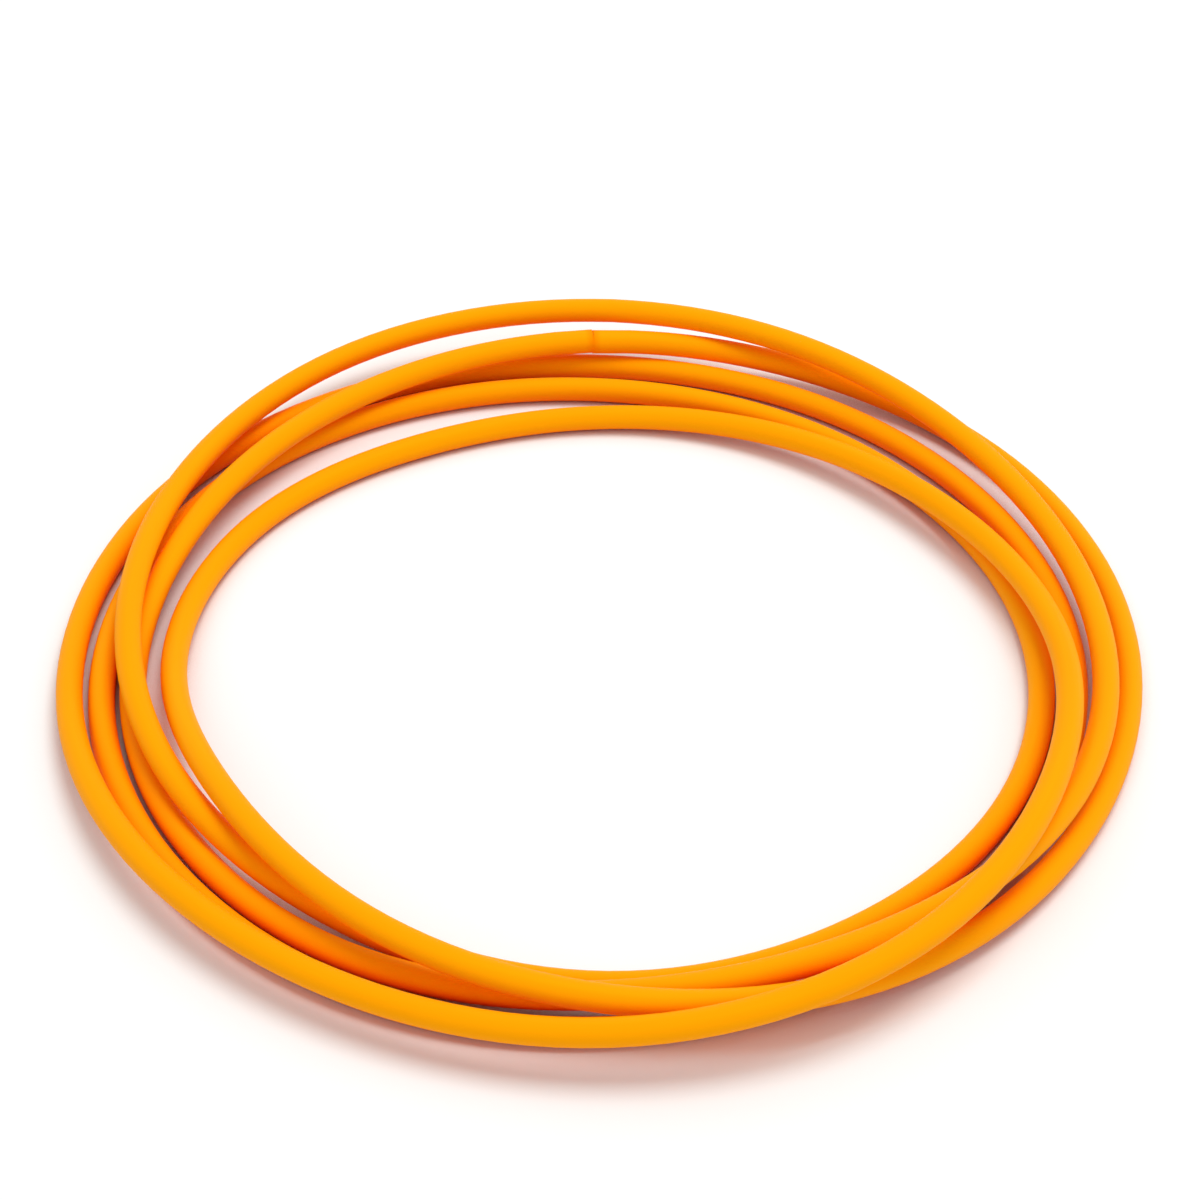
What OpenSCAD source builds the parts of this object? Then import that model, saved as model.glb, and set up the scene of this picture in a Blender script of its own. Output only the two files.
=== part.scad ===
// Optical patch cable, coiled: one length of simplex cable in five loose turns.
// Millimetres. The coil lies on Z = 0, and X = 0, Y = 0 is the middle of its outline.
// Both ends are cut square and face each other at the back of the coil (+Y).

/* [Cable] */
// Outside diameter of the jacket, which also scales the coil
jacket_od = 3.0; // [2.4:0.1:4.0]
// Wall of the jacket
jacket_wall = 0.5; // [0.3:0.05:0.6]
// Diameter over the tight buffer
buffer_od = 0.9; // [0.6:0.1:0.9]
// Diameter over the acrylate coating of the fibre
coating_od = 0.25; // [0.24:0.01:0.28]
// Diameter of the glass, core and cladding drawn as one
glass_od = 0.125; // [0.08:0.005:0.125]
// Room between one layer and the next
layer_room = 0.02; // [0.01:0.005:0.03]

/* [Coil] */
// Gap between the two cut ends
end_gap = 0.5; // [0.5:0.1:2.0]
// Rings of the swept solids in each turn
rings_per_turn = 24; // [24:4:36]

/* [Hidden] */

// How the cord is laid, as if on a clock face seen from above. Each row is one turn and its
// twelve places are the hours 12, 11, 10 and so on round to 1, the way the cord runs. Reach is
// the distance from the middle of the coil, and rise is the height above resting on the ground,
// about 3.5 where the cord rides over one turn and 7 where it rides over two.
reach = [
    [54.0, 53.0, 51.5, 53.0, 53.5, 54.0, 53.5, 55.5, 58.0, 56.5, 56.0, 56.5],
    [59.5, 62.0, 56.5, 53.0, 52.0, 49.0, 51.5, 50.5, 51.0, 50.0, 48.0, 48.0],
    [49.0, 52.0, 55.0, 56.5, 57.0, 57.5, 57.0, 55.5, 54.0, 54.0, 53.0, 53.5],
    [54.0, 57.0, 60.0, 60.0, 60.0, 59.5, 61.0, 61.5, 55.0, 51.0, 45.0, 44.0],
    [43.0, 43.0, 47.5, 48.5, 48.0, 52.0, 57.5, 59.0, 59.0, 60.5, 60.5, 59.0]];
rise = [
    [4.5, 3.5, 3.5, 0.0, 0.0, 0.0, 2.0, 4.5, 4.0, 3.0, 3.0, 6.0],
    [5.5, 3.5, 3.5, 5.0, 3.5, 0.0, 0.0, 0.0, 0.0, 0.0, 0.0, 0.0],
    [0.0, 0.0, 0.0, 0.0, 0.0, 0.0, 0.0, 0.0, 0.0, 0.0, 0.0, 0.0],
    [0.0, 0.0, 0.0, 0.0, 3.5, 3.5, 4.0, 8.0, 8.5, 4.0, 3.5, 1.0],
    [0.0, 0.0, 0.0, 0.0, 6.5, 5.5, 5.5, 1.5, 0.0, 0.0, 0.0, 0.5]];
reach_od = 3.0;                          // the jacket for which reach and rise are stated
turns = len(reach);
hours = 12;
hour_angle = 360 / hours;
seam_angle = 91;                         // the ends face each other a little left of twelve
lay_scale = jacket_od / reach_od;
ground_cut = jacket_od / 10;             // flat on the underside where the jacket lies down
rest_height = jacket_od / 2 - ground_cut;
sides = 6;                               // sides of the swept layers
square = 4;                              // sides of the fibre's two thin layers

// Place on the cord, u hours after the first cut end, on a cubic B-spline that closes on itself
// at the two ends, so that they face each other.
function station(table, i) =
    table[floor(i / hours) % turns][i % hours];
function spline(table, u) =
    let (i = floor(u) + turns * hours, t = u - floor(u))
    (station(table, i - 1) * pow(1 - t, 3)
     + station(table, i) * (3 * pow(t, 3) - 6 * pow(t, 2) + 4)
     + station(table, i + 1) * (-3 * pow(t, 3) + 3 * pow(t, 2) + 3 * t + 1)
     + station(table, i + 2) * pow(t, 3)) / 6;
function lay(u) =
    let (a = seam_angle + hour_angle * u, r = lay_scale * spline(reach, u))
    [r * cos(a), r * sin(a), rest_height + lay_scale * spline(rise, u)];

function unit(v) = v / norm(v);

// The line along the middle of the cord. Each end runs straight for one diameter of the jacket.
last_hour = turns * hours;
seam = lay(0);
seam_way = unit(lay(0.05) - lay(last_hour - 0.05));
hour_step = hours / rings_per_turn;
line = concat(
    [seam + seam_way * end_gap / 2, seam + seam_way * (end_gap / 2 + jacket_od)],
    [for (u = [hour_step : hour_step : last_hour - hour_step / 2]) lay(u)],
    [seam - seam_way * (end_gap / 2 + jacket_od), seam - seam_way * end_gap / 2]);
last = len(line) - 1;

// Direction of the cord at ring i, and the two axes of the ring: side points to the left of the
// way the cord runs, which is towards the middle of the coil, and up is square to both.
function way(i) = (i < 2 || i > last - 2) ? seam_way : unit(line[i + 1] - line[i - 1]);
function side(i) = unit(cross([0, 0, 1], way(i)));
function up(i) = cross(way(i), side(i));

// A place q on the section of ring i. What would be under the ground is cut flat on it.
function on_ring(i, q) =
    let (p = line[i] + side(i) * q[0] + up(i) * q[1])
    [p[0] - middle[0], p[1] - middle[1], max(0, p[2])];

// The middle of the coil's outline.
function middle_of(v) = (max(v) + min(v)) / 2;
middle = [middle_of([for (p = line) p[0]]), middle_of([for (p = line) p[1]])];

// Section of a layer: a regular polygon with a flat side down, inside the diameter given.
function ring_of(diameter, n = sides) =
    [for (k = [0 : n - 1]) let (a = 360 * k / n) [cos(a), sin(a)] * diameter / 2];

// Section of yarn k: it fills the sector between the buffer and one flat of the jacket's bore.
function yarn_section(k) =
    let (a = 360 * (k - 0.5) / sides,
         half_sector = 180 / sides,
         outer = jacket_bore / 2 * cos(half_sector) - layer_room,
         inner = buffer_od / 2 * cos(half_sector) + layer_room,
         outer_half = outer * tan(half_sector) - layer_room,
         inner_half = inner * tan(half_sector) - layer_room,
         corners = [[outer, -outer_half], [outer, outer_half],
                    [inner, inner_half], [inner, -inner_half]])
    [for (c = corners) [c[0] * cos(a) - c[1] * sin(a), c[0] * sin(a) + c[1] * cos(a)]];

jacket_bore = jacket_od - 2 * jacket_wall;
buffer_bore = (coating_od + 2 * layer_room) / cos(180 / sides);
coating_bore = glass_od + 2 * layer_room / cos(180 / square);

// Sweeps a section along the cord, with a hole of as many corners if one is given.
module sweep(section, hole = []) {
    n = len(section);
    w = n + len(hole);
    points = [for (i = [0 : last]) for (q = concat(section, hole)) on_ring(i, q)];
    function corner(i, k) = i * w + k % n;
    function hole_corner(i, k) = i * w + n + k % n;
    outside = [for (i = [0 : last - 1]) for (k = [0 : n - 1]) for (f = [
        [corner(i, k), corner(i + 1, k), corner(i + 1, k + 1)],
        [corner(i, k), corner(i + 1, k + 1), corner(i, k + 1)]]) f];
    inside = hole == [] ? [] :
        [for (i = [0 : last - 1]) for (k = [0 : n - 1]) for (f = [
            [hole_corner(i, k), hole_corner(i + 1, k + 1), hole_corner(i + 1, k)],
            [hole_corner(i, k), hole_corner(i, k + 1), hole_corner(i + 1, k + 1)]]) f];
    cut_solid = [for (k = [1 : n - 2]) for (f = [
        [corner(0, 0), corner(0, k), corner(0, k + 1)],
        [corner(last, 0), corner(last, k + 1), corner(last, k)]]) f];
    cut_open = [for (k = [0 : n - 1]) for (f = [
        [corner(0, k), corner(0, k + 1), hole_corner(0, k + 1)],
        [corner(0, k), hole_corner(0, k + 1), hole_corner(0, k)],
        [corner(last, k), hole_corner(last, k + 1), corner(last, k + 1)],
        [corner(last, k), hole_corner(last, k), hole_corner(last, k + 1)]]) f];
    polyhedron(points, concat(outside, inside, hole == [] ? cut_solid : cut_open));
}

// The jacket: a smooth round PVC sheath, open at both cuts.
module outer_jacket() {
    color("darkorange") sweep(ring_of(jacket_od), ring_of(jacket_bore));
}

// One of the yarns of aramid that lie along the buffer and take the pull on the cable.
module aramid_yarn(k) {
    color("khaki") sweep(yarn_section(k));
}

// The tight buffer: a round nylon or PVC covering extruded on the coated fibre.
module tight_buffer() {
    color("ivory") sweep(ring_of(buffer_od), ring_of(buffer_bore));
}

// The acrylate coating that protects the glass.
module fiber_coating() {
    color("skyblue") sweep(ring_of(coating_od, square), ring_of(coating_bore, square));
}

// The glass: core and cladding, drawn together into one thread.
module glass_fiber() {
    color("azure") sweep(ring_of(glass_od, square));
}

// The least gap of the jacket to itself, measured on points along its line, and its length.
steps = 4;
trace = [for (i = [0 : last - 1]) for (j = [0 : steps - 1])
    line[i] + (line[i + 1] - line[i]) * j / steps];
trace_last = len(trace) - 1;
half_turn = steps * rings_per_turn / 2;
least_gap = min([for (i = [0 : trace_last - half_turn])
    for (j = [i + half_turn : min(trace_last, i + trace_last - half_turn)])
        norm(trace[i] - trace[j])]) - jacket_od;
pieces = [for (i = [0 : last - 1]) norm(line[i + 1] - line[i])];
length = pieces * [for (p = pieces) 1];
echo(str("least gap between turns ", least_gap, " mm, between the ends ", end_gap, " mm"));
echo(str("length of the cord ", length, " mm"));

outer_jacket();
for (k = [1 : sides])
    aramid_yarn(k);
tight_buffer();
fiber_coating();
glass_fiber();
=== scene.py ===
"""Coiled length of simplex optical patch cable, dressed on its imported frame. Units are metres.

The cable is built from its skin inwards: jacket, aramid yarns, tight buffer, fibre coating and
glass. Each layer follows the one line on which the cord lies.
"""

import math

import bpy
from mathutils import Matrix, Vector


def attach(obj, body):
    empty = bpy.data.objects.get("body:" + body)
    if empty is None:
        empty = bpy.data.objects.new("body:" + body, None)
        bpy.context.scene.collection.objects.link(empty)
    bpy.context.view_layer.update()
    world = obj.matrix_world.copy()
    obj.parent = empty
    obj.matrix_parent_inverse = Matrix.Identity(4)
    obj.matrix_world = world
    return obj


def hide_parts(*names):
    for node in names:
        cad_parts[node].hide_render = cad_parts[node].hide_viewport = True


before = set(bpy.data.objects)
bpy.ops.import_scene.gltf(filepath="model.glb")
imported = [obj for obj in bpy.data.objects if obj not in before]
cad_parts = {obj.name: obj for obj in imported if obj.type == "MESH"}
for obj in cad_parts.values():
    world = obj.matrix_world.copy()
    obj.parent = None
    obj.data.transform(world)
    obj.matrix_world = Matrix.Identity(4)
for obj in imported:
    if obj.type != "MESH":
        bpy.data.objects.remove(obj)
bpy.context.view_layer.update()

# ------------------------------------------------------------------------------------------
# Camera. A long lens, held a third of a metre from the coil, looks down on it from the front
# at 41 degrees, and the coil's middle lies a little below the middle of the frame.
# ------------------------------------------------------------------------------------------
MM = 0.001
scene = bpy.context.scene
look_at = Vector((-0.1, 10.7, 0.0)) * MM
camera_distance = 325 * MM
camera_pitch = math.radians(41)
camera_data = bpy.data.cameras.new("camera")
camera_data.sensor_width = 36
camera_data.lens = 82.9
camera_data.clip_start = 10 * MM
camera = bpy.data.objects.new("camera", camera_data)
camera.location = look_at + camera_distance * Vector(
    (0, -math.cos(camera_pitch), math.sin(camera_pitch))
)
camera.rotation_euler = (math.pi / 2 - camera_pitch, 0, 0)
scene.collection.objects.link(camera)
scene.camera = camera

# ------------------------------------------------------------------------------------------
# Jacket. A smooth, matt orange sheath of PVC, 3 mm across, extruded in one length and cut
# square at both ends. The cord lies in five loose turns that ride over each other, and its
# two ends butt together at the back of the coil.
# ------------------------------------------------------------------------------------------
jacket_diameter = 3.0
jacket_bore = 2.0

# The lay, as in the part's source: each row is one turn and its twelve places are the hours
# 12, 11, 10 and so on round to 1. Reach is the distance from the middle of the coil and rise
# the height above resting on the ground, both in millimetres. The cord is drawn towards
# these places and rounds them off.
reach = [
    [54.0, 53.0, 51.5, 53.0, 53.5, 54.0, 53.5, 55.5, 58.0, 56.5, 56.0, 56.5],
    [59.5, 62.0, 56.5, 53.0, 52.0, 49.0, 51.5, 50.5, 51.0, 50.0, 48.0, 48.0],
    [49.0, 52.0, 55.0, 56.5, 57.0, 57.5, 57.0, 55.5, 54.0, 54.0, 53.0, 53.5],
    [54.0, 57.0, 60.0, 60.0, 60.0, 59.5, 61.0, 61.5, 55.0, 51.0, 45.0, 44.0],
    [43.0, 43.0, 47.5, 48.5, 48.0, 52.0, 57.5, 59.0, 59.0, 60.5, 60.5, 59.0],
]
rise = [
    [4.5, 3.5, 3.5, 0.0, 0.0, 0.0, 2.0, 4.5, 4.0, 3.0, 3.0, 6.0],
    [5.5, 3.5, 3.5, 5.0, 3.5, 0.0, 0.0, 0.0, 0.0, 0.0, 0.0, 0.0],
    [0.0, 0.0, 0.0, 0.0, 0.0, 0.0, 0.0, 0.0, 0.0, 0.0, 0.0, 0.0],
    [0.0, 0.0, 0.0, 0.0, 3.5, 3.5, 4.0, 8.0, 8.5, 4.0, 3.5, 1.0],
    [0.0, 0.0, 0.0, 0.0, 6.5, 5.5, 5.5, 1.5, 0.0, 0.0, 0.0, 0.5],
]
coil_middle = Vector((-0.12, 0.71, 0.0))
hours = 12
seam_angle = 91
last_hour = hours * len(reach)
rings_per_hour = 12
end_gap = 0.03
end_lift = 0.12
end_lift_length = 8.0


def spline(table, u):
    """Value at u hours from the first end, on a cubic B-spline that rounds off the table."""
    i, t = math.floor(u), u - math.floor(u)
    a, b, c, d = (
        table[(i + k) // hours % len(table)][(i + k) % hours] for k in (-1, 0, 1, 2)
    )
    return (
        a * (1 - t) ** 3
        + b * (3 * t**3 - 6 * t**2 + 4)
        + c * (-3 * t**3 + 3 * t**2 + 3 * t + 1)
        + d * t**3
    ) / 6


def lay(u):
    """Place on the middle of the cord, in millimetres."""
    angle = math.radians(seam_angle + 360 / hours * u)
    r = spline(reach, u)
    z = jacket_diameter / 2 + spline(rise, u)
    return coil_middle + Vector((r * math.cos(angle), r * math.sin(angle), z))


def cord_line(step):
    """The cord's middle line, with a place every step hours. Each end runs straight, and the
    first end lies a hair above the last, as two cut ends do that are only pushed together."""
    seam = lay(0)
    beside_seam = 0.05
    seam_way = (lay(beside_seam) - lay(last_hour - beside_seam)).normalized()
    inner = [lay(k * step) for k in range(1, round(last_hour / step))]
    straight = jacket_diameter + end_gap / 2
    line = [seam + seam_way * end_gap / 2]
    line += [p for p in inner if (p - seam).length > straight]
    line += [seam - seam_way * end_gap / 2]
    first_turn = line[: len(line) // len(reach)]
    for i, p in enumerate(first_turn):
        away = min(1, (p - seam).length / end_lift_length)
        line[i] = p + Vector((0, 0, end_lift * (1 - away) ** 2 * (1 + 2 * away)))
    return line


sharp_edge = math.radians(80)
weld_distance = 0.0001


def sweep_tree():
    """Geometry Nodes tree that sweeps a round section, solid or with a bore, along each line
    of a mesh. It keeps each point's place on the cord, laid out straight, as an attribute."""
    tree = bpy.data.node_groups.new("sweep_round", "GeometryNodeTree")
    face = tree.interface
    face.new_socket("Line", in_out="INPUT", socket_type="NodeSocketGeometry")
    face.new_socket("Outer diameter", in_out="INPUT", socket_type="NodeSocketFloat")
    face.new_socket("Bore diameter", in_out="INPUT", socket_type="NodeSocketFloat")
    face.new_socket("Sides", in_out="INPUT", socket_type="NodeSocketInt")
    face.new_socket("Finish", in_out="INPUT", socket_type="NodeSocketMaterial")
    face.new_socket("Layer", in_out="OUTPUT", socket_type="NodeSocketGeometry")
    new = tree.nodes.new
    link = tree.links.new
    given = new("NodeGroupInput").outputs

    line = new("GeometryNodeMeshToCurve")
    link(given["Line"], line.inputs["Mesh"])
    upright = new("GeometryNodeSetCurveNormal")
    upright.mode = "Z_UP"
    link(line.outputs["Curve"], upright.inputs["Curve"])
    along = new("GeometryNodeCaptureAttribute")
    along.capture_items.new("FLOAT", "along")
    link(upright.outputs["Curve"], along.inputs["Geometry"])
    link(new("GeometryNodeSplineParameter").outputs["Length"], along.inputs["along"])

    def math_node(operation, a, b):
        n = new("ShaderNodeMath")
        n.operation = operation
        for socket, value in zip(n.inputs, (a, b)):
            if isinstance(value, (int, float)):
                socket.default_value = value
            else:
                link(value, socket)
        return n.outputs["Value"]

    def tube(radius, caps):
        circle = new("GeometryNodeCurvePrimitiveCircle")
        link(given["Sides"], circle.inputs["Resolution"])
        link(radius, circle.inputs["Radius"])
        section = new("GeometryNodeCaptureAttribute")
        section.capture_items.new("VECTOR", "section")
        link(circle.outputs["Curve"], section.inputs["Geometry"])
        link(new("GeometryNodeInputPosition").outputs["Position"], section.inputs["section"])
        swept = new("GeometryNodeCurveToMesh")
        link(along.outputs["Geometry"], swept.inputs["Curve"])
        link(section.outputs["Geometry"], swept.inputs["Profile Curve"])
        swept.inputs["Fill Caps"].default_value = caps
        split = new("ShaderNodeSeparateXYZ")
        link(section.outputs["section"], split.inputs["Vector"])
        place = new("ShaderNodeCombineXYZ")
        link(along.outputs["along"], place.inputs["X"])
        link(split.outputs["X"], place.inputs["Y"])
        link(split.outputs["Y"], place.inputs["Z"])
        kept = new("GeometryNodeStoreNamedAttribute")
        kept.data_type = "FLOAT_VECTOR"
        kept.inputs["Name"].default_value = "straight"
        link(swept.outputs["Mesh"], kept.inputs["Geometry"])
        link(place.outputs["Vector"], kept.inputs["Value"])
        return kept.outputs["Geometry"]

    solid = tube(math_node("DIVIDE", given["Outer diameter"], 2), True)
    bore = tube(math_node("DIVIDE", given["Bore diameter"], 2), False)
    room = math_node("SUBTRACT", given["Outer diameter"], given["Bore diameter"])
    wall = new("GeometryNodeExtrudeMesh")
    wall.inputs["Individual"].default_value = False
    link(bore, wall.inputs["Mesh"])
    link(math_node("DIVIDE", room, 2), wall.inputs["Offset Scale"])
    inside = new("GeometryNodeFlipFaces")
    link(bore, inside.inputs["Mesh"])
    both = new("GeometryNodeJoinGeometry")
    link(wall.outputs["Mesh"], both.inputs["Geometry"])
    link(inside.outputs["Mesh"], both.inputs["Geometry"])
    welded = new("GeometryNodeMergeByDistance")
    welded.inputs["Distance"].default_value = weld_distance * MM
    link(both.outputs["Geometry"], welded.inputs["Geometry"])

    hollow = new("GeometryNodeSwitch")
    hollow.input_type = "GEOMETRY"
    link(math_node("GREATER_THAN", given["Bore diameter"], 0), hollow.inputs["Switch"])
    link(solid, hollow.inputs["False"])
    link(welded.outputs["Geometry"], hollow.inputs["True"])
    realized = new("GeometryNodeRealizeInstances")
    link(hollow.outputs["Output"], realized.inputs["Geometry"])
    finish = new("GeometryNodeSetMaterial")
    link(realized.outputs["Geometry"], finish.inputs["Geometry"])
    link(given["Finish"], finish.inputs["Material"])
    link(finish.outputs["Geometry"], new("NodeGroupOutput").inputs["Layer"])
    return tree


sweep = sweep_tree()
socket_named = {s.name: s.identifier for s in sweep.interface.items_tree}


def layer(name, lines, outer, bore, sides, finish):
    """A piece of the cable: a round section swept along each line, all in millimetres."""
    edges = bpy.data.meshes.new(name + "_line")
    places = [p * MM for line in lines for p in line]
    pairs = []
    start = 0
    for line in lines:
        pairs += [(start + i, start + i + 1) for i in range(len(line) - 1)]
        start += len(line)
    edges.from_pydata(places, pairs, [])
    guide = bpy.data.objects.new(name + "_line", edges)
    scene.collection.objects.link(guide)
    modifier = guide.modifiers.new("sweep", "NODES")
    modifier.node_group = sweep
    modifier[socket_named["Outer diameter"]] = outer * MM
    modifier[socket_named["Bore diameter"]] = bore * MM
    modifier[socket_named["Sides"]] = sides
    modifier[socket_named["Finish"]] = finish
    graph = bpy.context.evaluated_depsgraph_get()
    mesh = bpy.data.meshes.new_from_object(guide.evaluated_get(graph), depsgraph=graph)
    bpy.data.objects.remove(guide)
    mesh.name = name
    mesh.shade_smooth()
    mesh.set_sharp_from_angle(angle=sharp_edge)
    piece = bpy.data.objects.new(name, mesh)
    scene.collection.objects.link(piece)
    return piece


def extrusion_group():
    """Shader group: the marks of an extruded plastic covering, read on the straight cord. Long
    faint streaks run with it, and a fine orange peel lies over all."""
    group = bpy.data.node_groups.new("extrusion_marks", "ShaderNodeTree")
    face = group.interface
    face.new_socket("Place", in_out="INPUT", socket_type="NodeSocketVector")
    face.new_socket("Streak width", in_out="INPUT", socket_type="NodeSocketFloat")
    face.new_socket("Streak length", in_out="INPUT", socket_type="NodeSocketFloat")
    face.new_socket("Peel size", in_out="INPUT", socket_type="NodeSocketFloat")
    face.new_socket("Streaks", in_out="OUTPUT", socket_type="NodeSocketFloat")
    face.new_socket("Peel", in_out="OUTPUT", socket_type="NodeSocketFloat")
    new = group.nodes.new
    link = group.links.new
    given = new("NodeGroupInput").outputs
    result = new("NodeGroupOutput").inputs

    def divide_one_by(value):
        n = new("ShaderNodeMath")
        n.operation = "DIVIDE"
        n.inputs[0].default_value = 1
        link(value, n.inputs[1])
        return n.outputs["Value"]

    scale = new("ShaderNodeCombineXYZ")
    link(divide_one_by(given["Streak length"]), scale.inputs["X"])
    link(divide_one_by(given["Streak width"]), scale.inputs["Y"])
    link(divide_one_by(given["Streak width"]), scale.inputs["Z"])
    stretched = new("ShaderNodeVectorMath")
    stretched.operation = "MULTIPLY"
    link(given["Place"], stretched.inputs[0])
    link(scale.outputs["Vector"], stretched.inputs[1])
    streaks = new("ShaderNodeTexNoise")
    streaks.inputs["Scale"].default_value = 1
    streaks.inputs["Detail"].default_value = 3
    link(stretched.outputs["Vector"], streaks.inputs["Vector"])
    link(streaks.outputs["Fac"], result["Streaks"])
    peel = new("ShaderNodeTexNoise")
    peel.inputs["Detail"].default_value = 2
    link(given["Place"], peel.inputs["Vector"])
    link(divide_one_by(given["Peel size"]), peel.inputs["Scale"])
    link(peel.outputs["Fac"], result["Peel"])
    return group


extrusion_marks = extrusion_group()


sky_samples = 3


def hemmed_in(material, within, shut, open_at):
    """Node output from 0 to 1: 0 where surfaces within a distance shut a place in, so that only
    the share named shut of the sky is seen from it, and 1 where it is open_at or more."""
    nodes = material.node_tree.nodes
    sky_seen = nodes.new("ShaderNodeAmbientOcclusion")
    sky_seen.samples = sky_samples
    sky_seen.inputs["Distance"].default_value = within * MM
    share = nodes.new("ShaderNodeMapRange")
    share.inputs["From Min"].default_value = shut
    share.inputs["From Max"].default_value = open_at
    material.node_tree.links.new(sky_seen.outputs["AO"], share.inputs["Value"])
    return share.outputs["Result"]


streak_slenderness = 40
peel_share = 0.3
gloss_spread = 0.06
peel_depth = 0.01


def extruded(name, dark, light, roughness, streak_width, bump, specular=0.5):
    """Material of an extruded covering. Its colour wanders between dark and light."""
    material = bpy.data.materials.new(name)
    material.use_nodes = True
    nodes = material.node_tree.nodes
    link = material.node_tree.links.new
    shader = nodes["Principled BSDF"]
    place = nodes.new("ShaderNodeAttribute")
    place.attribute_name = "straight"
    marks = nodes.new("ShaderNodeGroup")
    marks.node_tree = extrusion_marks
    marks.inputs["Streak width"].default_value = streak_width * MM
    marks.inputs["Streak length"].default_value = streak_slenderness * streak_width * MM
    marks.inputs["Peel size"].default_value = peel_share * streak_width * MM
    link(place.outputs["Vector"], marks.inputs["Place"])
    colour = nodes.new("ShaderNodeMix")
    colour.data_type = "RGBA"
    colour.inputs["A"].default_value = (*dark, 1)
    colour.inputs["B"].default_value = (*light, 1)
    link(marks.outputs["Streaks"], colour.inputs["Factor"])
    link(colour.outputs["Result"], shader.inputs["Base Color"])
    gloss = nodes.new("ShaderNodeMapRange")
    gloss.inputs["To Min"].default_value = roughness - gloss_spread
    gloss.inputs["To Max"].default_value = roughness + gloss_spread
    link(marks.outputs["Peel"], gloss.inputs["Value"])
    link(gloss.outputs["Result"], shader.inputs["Roughness"])
    relief = nodes.new("ShaderNodeBump")
    relief.inputs["Strength"].default_value = bump
    relief.inputs["Distance"].default_value = peel_depth * MM
    link(marks.outputs["Peel"], relief.inputs["Height"])
    link(relief.outputs["Normal"], shader.inputs["Normal"])
    shader.inputs["Specular IOR Level"].default_value = specular
    return material


orange_pvc = extruded(
    "orange_pvc",
    dark=(1.00, 0.34, 0.001),
    light=(1.00, 0.38, 0.001),
    roughness=0.5,
    streak_width=0.6,
    bump=0.2,
    specular=0.05,
)
orange_shader = orange_pvc.node_tree.nodes["Principled BSDF"]
orange_shader.inputs["Specular Tint"].default_value = (1.0, 0.5, 0.05, 1.0)


def tint(material, colour, where_not):
    """Turns a material's colour towards another, all the way where where_not is 0."""
    base = material.node_tree.nodes["Principled BSDF"].inputs["Base Color"]
    mix = material.node_tree.nodes.new("ShaderNodeMix")
    mix.data_type = "RGBA"
    mix.inputs["A"].default_value = (*colour, 1)
    join = material.node_tree.links.new
    join(base.links[0].from_socket, mix.inputs["B"])
    join(where_not, mix.inputs["Factor"])
    join(mix.outputs["Result"], base)


# Painted shade: deep between the turns the orange is painted red, for the light there that has
# met the orange many times. The red tint stands for what the lamps alone don't give of that.
painted_groove_red = (1.0, 0.14, 0.0)
tint(orange_pvc, painted_groove_red, hemmed_in(orange_pvc, within=10, shut=0.0, open_at=0.5))

line = cord_line(1 / rings_per_hour)
cord_length = sum((b - a).length for a, b in zip(line, line[1:]))


def painted_seam_shade(material, shade_width):
    """Node output for the painted seam shade: 0 at the cord's two cut ends, 1 at the given
    distance.
    """
    nodes = material.node_tree.nodes
    link = material.node_tree.links.new
    along = nodes.new("ShaderNodeSeparateXYZ")
    place = nodes.new("ShaderNodeAttribute")
    place.attribute_name = "straight"
    link(place.outputs["Vector"], along.inputs["Vector"])
    from_last = nodes.new("ShaderNodeMath")
    from_last.operation = "SUBTRACT"
    from_last.inputs[0].default_value = cord_length * MM
    link(along.outputs["X"], from_last.inputs[1])
    nearest = nodes.new("ShaderNodeMath")
    nearest.operation = "MINIMUM"
    link(along.outputs["X"], nearest.inputs[0])
    link(from_last.outputs["Value"], nearest.inputs[1])
    away_from_cut = nodes.new("ShaderNodeMapRange")
    away_from_cut.inputs["From Max"].default_value = shade_width * MM
    link(nearest.outputs["Value"], away_from_cut.inputs["Value"])
    return away_from_cut.outputs["Result"]


# Painted shade: within a millimetre of each cut end the orange is painted a shade deeper, for
# the shade in the seam where the two ends butt together.
seam_shade_orange = (0.97, 0.26, 0.0)
tint(orange_pvc, seam_shade_orange, painted_seam_shade(orange_pvc, shade_width=1.0))

jacket_sides = 28
jacket = layer("jacket", [line], jacket_diameter, jacket_bore, jacket_sides, orange_pvc)
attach(jacket, "root")
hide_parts("outer_jacket")

# ------------------------------------------------------------------------------------------
# Aramid yarns. Straw-yellow filaments lie loose round the buffer, without twist, in six
# bundles. They take the pull on the cable, and are cut off flush with the jacket.
# ------------------------------------------------------------------------------------------
filament_diameter = 0.19
filament_rows = [(0.60, (-17, 0, 17)), (0.83, (-24, -12, 0, 12, 24))]
filament_step = 1 / 6
filament_sides = 5
bundles = 6


def beside(line, right, height):
    """A line that runs beside the cord's middle line, by a distance to its side and above."""
    moved = []
    for i, p in enumerate(line):
        ahead = line[min(i + 1, len(line) - 1)] - line[max(i - 1, 0)]
        side = Vector((0, 0, 1)).cross(ahead).normalized()
        moved.append(p + side * right + ahead.cross(side).normalized() * height)
    return moved


thread_scale = (300, 40000, 40000)
thread_depth = 0.01


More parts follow.
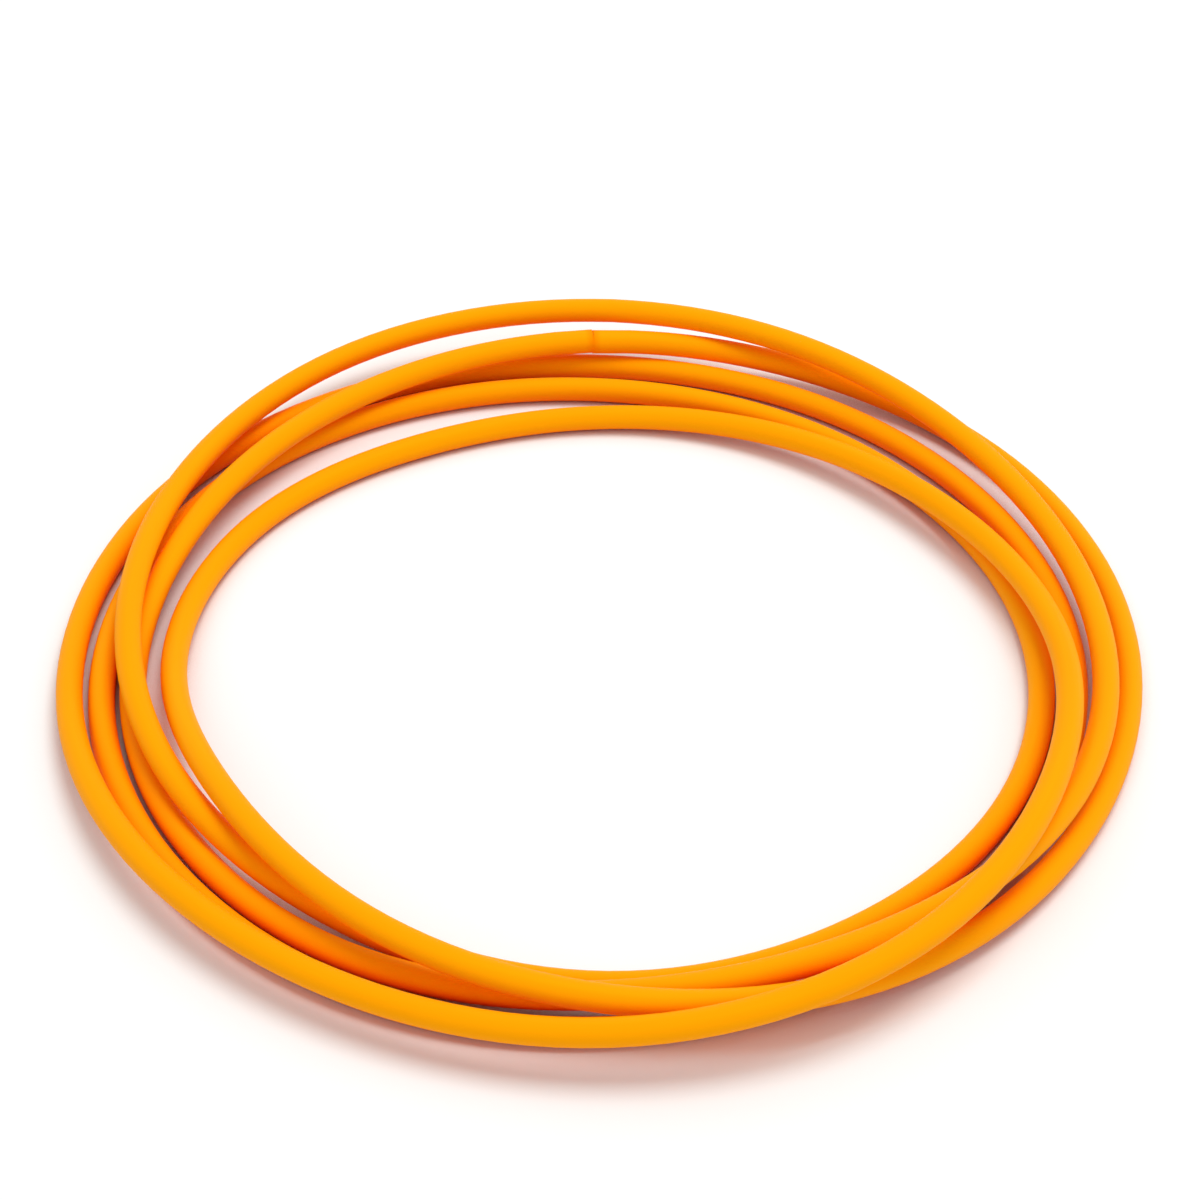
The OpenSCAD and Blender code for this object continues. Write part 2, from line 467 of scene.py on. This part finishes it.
def aramid():
    """Material of the yarns: matt straw yellow, with fine darker threads along them."""
    material = bpy.data.materials.new("aramid")
    material.use_nodes = True
    nodes = material.node_tree.nodes
    link = material.node_tree.links.new
    shader = nodes["Principled BSDF"]
    place = nodes.new("ShaderNodeAttribute")
    place.attribute_name = "straight"
    threads = nodes.new("ShaderNodeTexNoise")
    threads.inputs["Scale"].default_value = 1
    threads.inputs["Detail"].default_value = 4
    stretch = nodes.new("ShaderNodeVectorMath")
    stretch.operation = "MULTIPLY"
    stretch.inputs[1].default_value = thread_scale
    link(place.outputs["Vector"], stretch.inputs[0])
    link(stretch.outputs["Vector"], threads.inputs["Vector"])
    colour = nodes.new("ShaderNodeMix")
    colour.data_type = "RGBA"
    colour.inputs["A"].default_value = (0.45, 0.31, 0.07, 1)
    colour.inputs["B"].default_value = (0.76, 0.60, 0.22, 1)
    link(threads.outputs["Fac"], colour.inputs["Factor"])
    link(colour.outputs["Result"], shader.inputs["Base Color"])
    relief = nodes.new("ShaderNodeBump")
    relief.inputs["Strength"].default_value = 0.5
    relief.inputs["Distance"].default_value = thread_depth * MM
    link(threads.outputs["Fac"], relief.inputs["Height"])
    link(relief.outputs["Normal"], shader.inputs["Normal"])
    shader.inputs["Roughness"].default_value = 0.6
    shader.inputs["Sheen Weight"].default_value = 0.3
    return material


straw_aramid = aramid()
coarse_line = cord_line(filament_step)
for k in range(1, bundles + 1):
    filaments = []
    for from_middle, places in filament_rows:
        for place in places:
            angle = math.radians(360 / bundles * (k - 0.5) + place)
            right, height = from_middle * math.cos(angle), from_middle * math.sin(angle)
            filaments.append(beside(coarse_line, right, height))
    yarn = layer(f"yarn_{k}", filaments, filament_diameter, 0, filament_sides, straw_aramid)
    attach(yarn, "root")
    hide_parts(f"aramid_yarn_{k}")

# ------------------------------------------------------------------------------------------
# Tight buffer. A smooth off-white plastic covering, 0.9 mm across, extruded straight on the
# coated fibre, which it makes stiff enough to handle and to fit in a connector.
# ------------------------------------------------------------------------------------------
buffer_diameter = 0.9
buffer_bore = 0.26
off_white = extruded(
    "off_white_nylon",
    dark=(0.74, 0.72, 0.66),
    light=(0.82, 0.80, 0.74),
    roughness=0.4,
    streak_width=0.2,
    bump=0.2,
)
buffer_sides = 16
buffer = layer("buffer", [line], buffer_diameter, buffer_bore, buffer_sides, off_white)
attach(buffer, "root")
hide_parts("tight_buffer")

# ------------------------------------------------------------------------------------------
# Fibre. One thread of glass, 0.125 mm across, with core and cladding made as one, under a
# clear acrylate coating that keeps its surface from being scratched.
# ------------------------------------------------------------------------------------------
coating_diameter = 0.25
coating_bore = 0.126
glass_diameter = 0.125
clear_acrylate = extruded(
    "clear_acrylate",
    dark=(0.72, 0.78, 0.84),
    light=(0.80, 0.86, 0.92),
    roughness=0.25,
    streak_width=0.05,
    bump=0.1,
)
coating_sides = 10
coating = layer(
    "coating", [line], coating_diameter, coating_bore, coating_sides, clear_acrylate
)
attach(coating, "root")
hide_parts("fiber_coating")

silica = extruded(
    "silica",
    dark=(0.80, 0.88, 0.90),
    light=(0.88, 0.94, 0.96),
    roughness=0.12,
    streak_width=0.05,
    bump=0.02,
)
silica.node_tree.nodes["Principled BSDF"].inputs["Transmission Weight"].default_value = 0.9
glass_sides = 8
glass = layer("glass", [line], glass_diameter, 0, glass_sides, silica)
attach(glass, "root")
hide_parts("glass_fiber")

# ------------------------------------------------------------------------------------------
# Studio. The coil lies on a seamless white sheet. A wide soft light hangs high over it, to the
# right and a little to the back, an even light fills the rest, and the backdrop is white.
# ------------------------------------------------------------------------------------------
sheet_half = 1.5
sheet_mesh = bpy.data.meshes.new("white_sheet")
sheet_mesh.from_pydata(
    [
        (-sheet_half, -sheet_half, 0),
        (sheet_half, -sheet_half, 0),
        (sheet_half, sheet_half, 0),
        (-sheet_half, sheet_half, 0),
    ],
    [],
    [(0, 1, 2, 3)],
)
white_sheet = bpy.data.objects.new("white_sheet", sheet_mesh)
scene.collection.objects.link(white_sheet)

sheet_finish = bpy.data.materials.new("white_sheet")
sheet_finish.use_nodes = True
nodes = sheet_finish.node_tree.nodes
link = sheet_finish.node_tree.links.new
paper = nodes["Principled BSDF"]
paper.inputs["Roughness"].default_value = 0.9
paper.inputs["Specular IOR Level"].default_value = 0.1

# Painted shadow: close to the cord the sheet is painted brown, where the cord shuts out the sky
# and throws its own colour on it. The brown stands for what the lamps alone don't give of that.
painted_shadow_tone = nodes.new("ShaderNodeMix")
painted_shadow_tone.data_type = "RGBA"
painted_shadow_brown = (0.52, 0.26, 0.17, 1)
open_white = (0.89, 0.93, 0.93, 1)
painted_shadow_tone.inputs["A"].default_value = painted_shadow_brown
painted_shadow_tone.inputs["B"].default_value = open_white
hemmed = hemmed_in(sheet_finish, within=5, shut=0.1, open_at=0.42)
link(hemmed, painted_shadow_tone.inputs["Factor"])
link(painted_shadow_tone.outputs["Result"], paper.inputs["Base Color"])


def seen_ray(nodes, link):
    """Node output that is 1 for what the eye sees, straight or by a mirror or through glass."""
    ray = nodes.new("ShaderNodeLightPath").outputs
    seen = ray["Is Camera Ray"]
    for way in ("Is Glossy Ray", "Is Transmission Ray"):
        either = nodes.new("ShaderNodeMath")
        either.operation = "MAXIMUM"
        link(seen, either.inputs[0])
        link(ray[way], either.inputs[1])
        seen = either.outputs["Value"]
    return seen


# Far from the coil, where the key light thins out, the sheet glows up to white as it is seen.
glow_from, glow_to, glow_most = 0.1, 1.0, 0.4
away = nodes.new("ShaderNodeVectorMath")
away.operation = "LENGTH"
link(nodes.new("ShaderNodeTexCoord").outputs["Object"], away.inputs[0])
far_glow = nodes.new("ShaderNodeMapRange")
far_glow.inputs["From Min"].default_value = glow_from
far_glow.inputs["From Max"].default_value = glow_to
far_glow.inputs["To Max"].default_value = glow_most
link(away.outputs["Value"], far_glow.inputs["Value"])
seen_glow = nodes.new("ShaderNodeMath")
seen_glow.operation = "MULTIPLY"
link(far_glow.outputs["Result"], seen_glow.inputs[0])
link(seen_ray(nodes, link), seen_glow.inputs[1])
glow = nodes.new("ShaderNodeEmission")
link(seen_glow.outputs["Value"], glow.inputs["Strength"])
lit_sheet = nodes.new("ShaderNodeAddShader")
link(paper.outputs["BSDF"], lit_sheet.inputs[0])
link(glow.outputs["Emission"], lit_sheet.inputs[1])
link(lit_sheet.outputs["Shader"], nodes["Material Output"].inputs["Surface"])
sheet_mesh.materials.append(sheet_finish)

key_place = (0.29, 0.12, 1.21)
key_diameter = 0.7
key_watts = 7.6
key_data = bpy.data.lights.new("key", "AREA")
key_data.shape = "DISK"
key_data.size = key_diameter
key_data.energy = key_watts
key = bpy.data.objects.new("key", key_data)
key.location = key_place
key.rotation_euler = Vector(key.location).to_track_quat("Z", "Y").to_euler()
scene.collection.objects.link(key)

fill_level = 0.73
backdrop_level = 1.0
white = (1, 1, 1, 1)
world = bpy.data.worlds.new("studio")
scene.world = world
world.use_nodes = True
nodes = world.node_tree.nodes
link = world.node_tree.links.new
fill = nodes["Background"]
fill.inputs["Color"].default_value = white
fill.inputs["Strength"].default_value = fill_level
backdrop = nodes.new("ShaderNodeBackground")
backdrop.inputs["Color"].default_value = white
backdrop.inputs["Strength"].default_value = backdrop_level
sky = nodes.new("ShaderNodeMixShader")
link(seen_ray(nodes, link), sky.inputs["Fac"])
link(fill.outputs["Background"], sky.inputs[1])
link(backdrop.outputs["Background"], sky.inputs[2])
link(sky.outputs["Shader"], nodes["World Output"].inputs["Surface"])

scene.view_settings.view_transform = "Standard"
